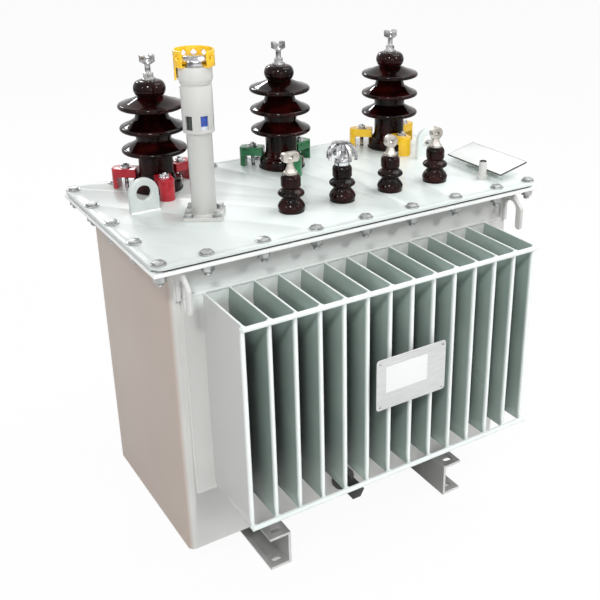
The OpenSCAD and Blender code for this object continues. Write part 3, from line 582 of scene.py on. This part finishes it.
fitting_welds = bmesh.new()
for hook in HOOKS:
    low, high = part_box(hook)
    y = math.copysign(wall_y + 1 * MM, low.y)
    for x in (low.x, high.x):
        weld_bead(fitting_welds, (x, y, low.z + 4 * MM), (x, y, high.z - 2 * MM), 2.6)
for rail in ("left_rail", "right_rail"):
    low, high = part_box(rail)
    for y in (-wall_y, wall_y):
        weld_bead(fitting_welds, (low.x + 2 * MM, y, high.z), (high.x - 2 * MM, y, high.z), 3.0)
for lug in ("left_lifting_lug", "right_lifting_lug"):
    low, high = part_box(lug)
    for y in (low.y, high.y):
        weld_bead(fitting_welds, (low.x, y, low.z), (high.x, y, low.z), 2.6)
finish_piece("fitting_welds", fitting_welds, "tank_paint", crease=60)

rod_tacks = bmesh.new()
tack = bmesh.new()
bmesh.ops.create_icosphere(tack, subdivisions=2, radius=1.0)
rod_low, rod_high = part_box("front_fin_rods")
for side in (-1, 1):
    y = side * (abs(rod_high.y) - 0.5 * MM)
    for k in range(FINS):
        x = (k - (FINS - 1) / 2) * FIN_PITCH * MM
        size = (4.6 + 0.5 * math.sin(k * 2.3)) * MM
        for z in (rod_low.z + ROD_RADIUS * MM, rod_high.z - ROD_RADIUS * MM):
            flattened = Matrix.Diagonal((size * 1.3, size * 0.9, size, 1))
            set_down(rod_tacks, tack, Matrix.Translation((x, y, z)) @ flattened)
tack.free()
finish_piece("rod_tacks", rod_tacks, "cover_paint", crease=60)

# ---------------------------------------------------------------- cover bolts

under = (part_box("tank_flange")[0].z - lid) / MM
bolt = gather(washer(25, 13.5, 1.6, 0.1), nut_head(18, 3.6, 1.6), shank(12, under, 1),
              washer(24, 13.5, 2.4, under - 2.5), nut_head(18.5, 9.5, under - 12),
              threaded(12, under - 19, under - 11))
cover_bolts = bmesh.new()
edge_x, edge_y = cover_high.x - COVER_BOLT_INSET * MM, cover_high.y - COVER_BOLT_INSET * MM
spots = [(COVER_BOLT_PITCH * i * MM, s * edge_y) for i in range(-3, 4) for s in (-1, 1)]
spots += [(s * edge_x, k * edge_y / 2) for k in range(-2, 3) for s in (-1, 1)]
for n, (x, y) in enumerate(spots):
    turn = Matrix.Rotation(n * 0.7, 4, "Z")  # each head was left at another angle
    set_down(cover_bolts, bolt, Matrix.Translation((x, y, lid)) @ turn)
bolt.free()
finish_piece("cover_bolts", cover_bolts, "bright_steel", material=ZINC)

# ---------------------------------------------------------------- high voltage bushings

def shed(z, rim_r, core_r, rim=4.5, rise=12.7):
    """Half outline of one shed from its root below, round its rim and up its slope to the core."""
    centre_r = rim_r - rim
    under_side = [(core_r + 3, z - rim * 0.55, 1.5), (centre_r - 9, z - rim * 0.5, 2),
                  (centre_r - 3, z - rim * 0.95, 2)]
    rim_bend = [(centre_r + rim * math.sin(math.pi * i / 10), z - rim * math.cos(math.pi * i / 10))
                for i in range(1, 10)]
    slope = [(centre_r - (centre_r - core_r) * i / 8, z + rim + rise * (i / 8) ** 1.15)
             for i in range(9)]
    return under_side + rim_bend + slope


def hv_outline():
    """Half outline of a high voltage bushing: foot, three sheds, neck and rounded head."""
    outline = [(0, 0), (42, 0, 1.5), (44, 3, 1.5), (44, 16, 2), (41, 22, 3), (35.5, 22, 1),
               (31, 31, 4), (31, 66, 2)]
    for z, core_r in ((76, 31), (116, 31), (156, 22)):
        outline += shed(z, 58.5, core_r)
    return outline + [(22, 174, 0.5), (24.5, 175, 1.5), (28.5, 181, 4), (28.5, 192, 5),
                      (23.5, 199.5, 4), (17, 201, 1), (0, 201)]


hv_shape = turned(hv_outline(), 72)
gasket_ring = turned([(36, 0), (45.5, 0, 0.5), (45.5, 2.2, 0.5), (36, 2.2), (36, 0)], 64)
for side in ("left", "middle", "right"):
    name = side + "_hv_bushing"
    place = foot_of(name)
    whole = bmesh.new()
    set_down(whole, hv_shape, place)
    finish_piece(side + "_hv_porcelain", whole, "brown_porcelain", replaced=[name], crease=50)
    ring = bmesh.new()
    set_down(ring, gasket_ring, place)
    finish_piece(side + "_hv_foot_gasket", ring, "gasket_rubber")
    softened(side + "_hv_terminal", 0.7, 2, material=TINNED_COPPER)
hv_shape.free()
gasket_ring.free()

clamp_bolt = gather(washer(20, 10.5, 1.6, 38.3), nut_head(14, 5, 39.9), threaded(8, 0, 47, 1.8))
for side, colour in (("left", "red"), ("middle", "green"), ("right", "yellow")):
    softened(colour + "_clamps", 1.6, 3)
    bolts = bmesh.new()
    centre = foot_of(side + "_hv_bushing")
    for third in range(3):
        turn = Matrix.Rotation(math.radians(120 * third + CLAMP_TURN), 4, "Z")
        out = Matrix.Translation((CLAMP_CIRCLE_RADIUS * MM, 0, 0))
        set_down(bolts, clamp_bolt, Matrix.Translation(centre) @ turn @ out)
    finish_piece(colour + "_clamp_bolts", bolts, "bright_steel")
clamp_bolt.free()

# ---------------------------------------------------------------- low voltage bushings

lv_shape = turned([
    (0, 0), (21, 0, 2), (24, 6, 4), (24, 11, 4), (21, 17, 4), (16, 22, 3), (15.5, 26, 1),
    (17, 28.5, 1), (21, 29, 1.5), (23.5, 31.5, 1.5), (23.5, 34.5, 1.5), (21, 37.5, 1.5),
    (16, 41, 1.5), (15.5, 43.5, 1), (17.5, 46, 1.5), (17.5, 61.5, 2.5), (13.5, 67, 1.5), (0, 67),
], 56)
lv_gasket = turned([(15, 0), (22.5, 0, 0.4), (22.5, 1.4, 0.4), (15, 1.4), (15, 0)], 48)
for order in ("first", "second", "third", "fourth"):
    name = order + "_lv_bushing"
    place = foot_of(name)
    whole = bmesh.new()
    set_down(whole, lv_shape, place)
    finish_piece(order + "_lv_porcelain", whole, "brown_porcelain", replaced=[name], crease=50)
    ring = bmesh.new()
    set_down(ring, lv_gasket, place)
    finish_piece(order + "_lv_foot_gasket", ring, "gasket_rubber")
for order in ("first", "third", "fourth"):
    softened(order + "_lv_terminal", 0.8, 2)
softened("second_lv_terminal", 0.6, 2)
lv_shape.free()
lv_gasket.free()

# ---------------------------------------------------------------- oil gauge

gauge = foot_of("gauge_foot_plate")
gauge_place = Matrix.Translation(gauge) @ Matrix.Rotation(math.radians(GAUGE_TURN), 4, "Z")
softened("gauge_foot_plate", 0.8)
softened("gauge_tube", 0.8)
softened("gauge_head", 0.6)
softened("gauge_cap", 1.5, 3)
softened("gauge_guard", 0.5)
foot_bolt = gather(washer(17, 8.5, 1.6, GAUGE_FOOT_THICKNESS),
                   nut_head(13, 5.5, GAUGE_FOOT_THICKNESS + 1.6),
                   shank(8, 1, GAUGE_FOOT_THICKNESS + 1, 16))
gauge_bolts = bmesh.new()
for x in (-GAUGE_BOLT_OFFSET, GAUGE_BOLT_OFFSET):
    for y in (-GAUGE_BOLT_OFFSET, GAUGE_BOLT_OFFSET):
        set_down(gauge_bolts, foot_bolt, gauge_place @ Matrix.Translation((x * MM, y * MM, 0)))
foot_bolt.free()
finish_piece("gauge_bolts", gauge_bolts, "bright_steel", material=ZINC)
gauge_weld = bmesh.new()
foot_top = gauge + Vector((0, 0, GAUGE_FOOT_THICKNESS * MM))
weld_ring(gauge_weld, foot_top, GAUGE_TUBE_WELD_RADIUS, 2.4)
finish_piece("gauge_weld", gauge_weld, "gauge_paint", crease=60)

# ---------------------------------------------------------------- fittings on the cover

for lug in ("left_lifting_lug", "right_lifting_lug"):
    softened(lug, 1.6, 3)
softened("thermometer_pocket", 0.6)
softened("cover_tag", 0.6)
softened("cover_tag_bracket", 0.4)
tag_low, tag_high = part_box("cover_tag")
tag_place = Matrix.Translation((tag_low + tag_high) / 2)
tag_place = tag_place @ Matrix.Rotation(math.radians(-TAG_TILT), 4, "Y")
bar_width, bar_height = 0.9, 3.2
long_bar, short_bar = (bar_width, TAG_LENGTH + bar_width), (TAG_WIDTH, bar_width)
# Dark bars round the tag's rim: painted shade on its edges.
tag_shade_edging = bmesh.new()
for x, y, size in ((-TAG_WIDTH / 2, 0, long_bar), (TAG_WIDTH / 2, 0, long_bar),
                   (0, -TAG_LENGTH / 2, short_bar), (0, TAG_LENGTH / 2, short_bar)):
    bar = bmesh.new()
    stretched = Matrix.Diagonal((size[0] * MM, size[1] * MM, bar_height * MM, 1))
    bmesh.ops.create_cube(bar, size=1.0, matrix=Matrix.Translation((x * MM, y * MM, 0)) @ stretched)
    set_down(tag_shade_edging, round_edges(bar, 0.3, 2), tag_place)
    bar.free()
finish_piece("cover_tag_shade_edging", tag_shade_edging, "gasket_rubber", material=TAG_RIM_SHADE)
seal = turned([(4.4, 34.4), (6.6, 34.4, 0.3), (6.6, 36.2, 0.8), (4.4, 36.2, 0.6), (4.4, 34.4)], 32)
pocket_seal = bmesh.new()
set_down(pocket_seal, seal, foot_of("thermometer_pocket"))
seal.free()
finish_piece("thermometer_pocket_seal", pocket_seal, "gasket_rubber")

# ---------------------------------------------------------------- rating plate and valve

softened("rating_plate", 0.5)
softened("rating_plate_bracket", 1.0)
softened("drain_valve", 1.2)
plate_low, plate_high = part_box("rating_plate")
face_y = plate_low.y


def flat_panel(left, right, bottom, top, thick_mm, edge_mm):
    """Thin panel with round edges on the rating plate's face, between edges given in mm."""
    shape = bmesh.new()
    size = ((right - left) * MM, thick_mm * MM, (top - bottom) * MM, 1)
    middle = ((left + right) / 2 * MM, face_y - (thick_mm / 2 - 0.1) * MM, (bottom + top) / 2 * MM)
    place = Matrix.Translation(middle) @ Matrix.Diagonal(size)
    bmesh.ops.create_cube(shape, size=1.0, matrix=place)
    upright = [e for e in shape.edges if abs(e.verts[0].co.y - e.verts[1].co.y) > thick_mm * MM / 2]
    bmesh.ops.bevel(shape, geom=upright, offset=edge_mm * MM, segments=4, profile=0.5,
                    affect="EDGES", material=-1)
    return round_edges(shape, 0.2, 1)


finish_piece("rating_plate_panel", flat_panel(*PLATE_FIELD_EDGES, 0.7, 1.5), "white_enamel",
             material=PLATE_FIELD)
rivet = turned([(0, -1.0), (2.6, -1.0), (2.6, 0.2), (2.3, 1.0, 0.5), (1.3, 1.6, 0.5), (0, 1.8)], 20)
rivets = bmesh.new()
inset = PLATE_RIVET_INSET * MM
to_front = Matrix.Rotation(math.pi / 2, 4, "X")
for x in (plate_low.x + inset, plate_high.x - inset):
    for z in (plate_low.z + inset, plate_high.z - inset):
        set_down(rivets, rivet, Matrix.Translation((x, face_y, z)) @ to_front)
rivet.free()
finish_piece("rating_plate_rivets", rivets, "bright_steel", material=ZINC)

for name, node in nodes.items():
    for place in node.material_slots:
        place.material = FINISHES[slot_of[name]]

# ---------------------------------------------------------------- floor, light and camera

def pale_floor():
    """Pale studio floor, brighter where the camera sees it, with the object's shadow kept. Under
    the rails it isn't brighter, so that their slots show it in their own shade."""
    made, tree, shader, where = surface("pale studio floor", roughness=0.9)
    tone = blend_colours(tree, pattern(tree, where, 900, 2.0), 0.3, 0.7, "#F8F8F7", "#F4F4F3")
    tree.links.new(tone, shader.inputs["Base Color"])
    low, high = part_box("right_rail")
    covered = within(tree, 1.0, ("|X|", low.x, low.x + MM), ("|X|", high.x, high.x - MM),
                     ("|Y|", high.y, high.y - MM))
    share = put(tree, "ShaderNodeMath", {0: 1.0, 1: covered}, operation="SUBTRACT").outputs[0]
    seen = put(tree, "ShaderNodeLightPath").outputs["Is Camera Ray"]
    for factor in (0.95, seen):
        share = put(tree, "ShaderNodeMath", {0: share, 1: factor}, operation="MULTIPLY").outputs[0]
    white = put(tree, "ShaderNodeEmission", {"Color": linear("#FFFFFF"), "Strength": 1.0})
    mixed = put(tree, "ShaderNodeMixShader", {
        0: share, 1: shader.outputs[0], 2: white.outputs[0],
    }).outputs[0]
    tree.links.new(mixed, tree.nodes["Material Output"].inputs["Surface"])
    return made


floor_shape = bmesh.new()
bmesh.ops.create_grid(floor_shape, x_segments=2, y_segments=2, size=15.0)
floor_mesh = bpy.data.meshes.new("floor")
floor_shape.to_mesh(floor_mesh)
floor_shape.free()
floor_mesh.materials.append(pale_floor())
floor = bpy.data.objects.new("floor", floor_mesh)
bpy.context.scene.collection.objects.link(floor)

world = bpy.data.worlds.new("studio")
bpy.context.scene.world = world
world.use_nodes = True
sky = world.node_tree
room = sky.nodes["Background"]
room.inputs["Color"].default_value = linear("#FBFCFF")
room.inputs["Strength"].default_value = 0.42
rays = put(sky, "ShaderNodeLightPath").outputs
seen = rays["Is Camera Ray"]
for ray in ("Is Glossy Ray", "Is Transmission Ray"):
    seen = put(sky, "ShaderNodeMath", {
        0: seen, 1: rays[ray],
    }, operation="ADD", use_clamp=True).outputs[0]
white = put(sky, "ShaderNodeBackground", {"Color": linear("#FFFFFF"), "Strength": 1.0})
both = put(sky, "ShaderNodeMixShader", {0: seen, 1: room.outputs[0], 2: white.outputs[0]})
sky.links.new(both.outputs[0], sky.nodes["World Output"].inputs["Surface"])


def softbox(name, place, aim, size, power):
    """White rectangular lamp that looks at a point."""
    lamp = bpy.data.lights.new(name, "AREA")
    lamp.shape = "RECTANGLE"
    lamp.size, lamp.size_y = size
    lamp.energy = power
    made = bpy.data.objects.new(name, lamp)
    made.location = place
    made.rotation_euler = (Vector(aim) - Vector(place)).to_track_quat("-Z", "Y").to_euler()
    bpy.context.scene.collection.objects.link(made)


# Broad light from above and the right, and a smaller key lamp at the left front, which leaves the
# fin bays dark and draws the rods' slanting shadows. The sparks show as glints on glaze and metal,
# and the two windows behind as streaks on the left of the porcelain sheds.
softbox("overhead_softbox", (1.5, -0.3, 2.8), (0.3, 0, 0.6), (1.6, 1.6), 32)
softbox("key_softbox", (-1.8, -2.3, 3.1), (0.1, 0, 0.4), (0.5, 0.5), 61)
softbox("front_fill", (-0.6, -3.4, 1.5), (0, 0, 0.4), (1.6, 1.6), 11)
softbox("front_spark", (1.5, -2.2, 2.1), (0, 0, 0.7), (0.35, 0.35), 14)
softbox("left_spark", (-2.6, -0.6, 2.0), (0, 0, 0.8), (0.2, 0.3), 6)
softbox("back_window", (0.65, 3.2, 2.3), (0.0, 0.1, 0.8), (0.34, 0.5), 17)
softbox("second_back_window", (-0.3, 3.2, 2.3), (-0.2, 0.1, 0.8), (0.34, 0.5), 13)


def photo_camera():
    """Camera that was fitted to the photograph: place, turn, tilt, roll and focal length."""
    yaw, pitch, roll = (math.radians(a) for a in (34.4, 23.1, 0.6))
    ahead = Vector((math.sin(yaw) * math.cos(pitch), math.cos(yaw) * math.cos(pitch),
                    -math.sin(pitch)))
    right = Vector((math.cos(yaw), -math.sin(yaw), 0))
    above = right.cross(ahead)
    right, above = (right * math.cos(roll) + above * math.sin(roll),
                    above * math.cos(roll) - right * math.sin(roll))
    lens = bpy.data.cameras.new("photo_camera")
    lens.sensor_width = 36
    lens.lens = 911.5 / 600 * lens.sensor_width  # fitted length over the photo's width, in pixels
    lens.shift_x, lens.shift_y = -0.13, -0.07
    lens.clip_end = 60
    made = bpy.data.objects.new("photo_camera", lens)
    made.matrix_world = Matrix((right, above, -ahead)).transposed().to_4x4()
    made.location = (-0.8068, -1.4221, 1.1873)
    bpy.context.scene.collection.objects.link(made)
    bpy.context.scene.camera = made


photo_camera()
bpy.context.scene.view_settings.view_transform = "Standard"
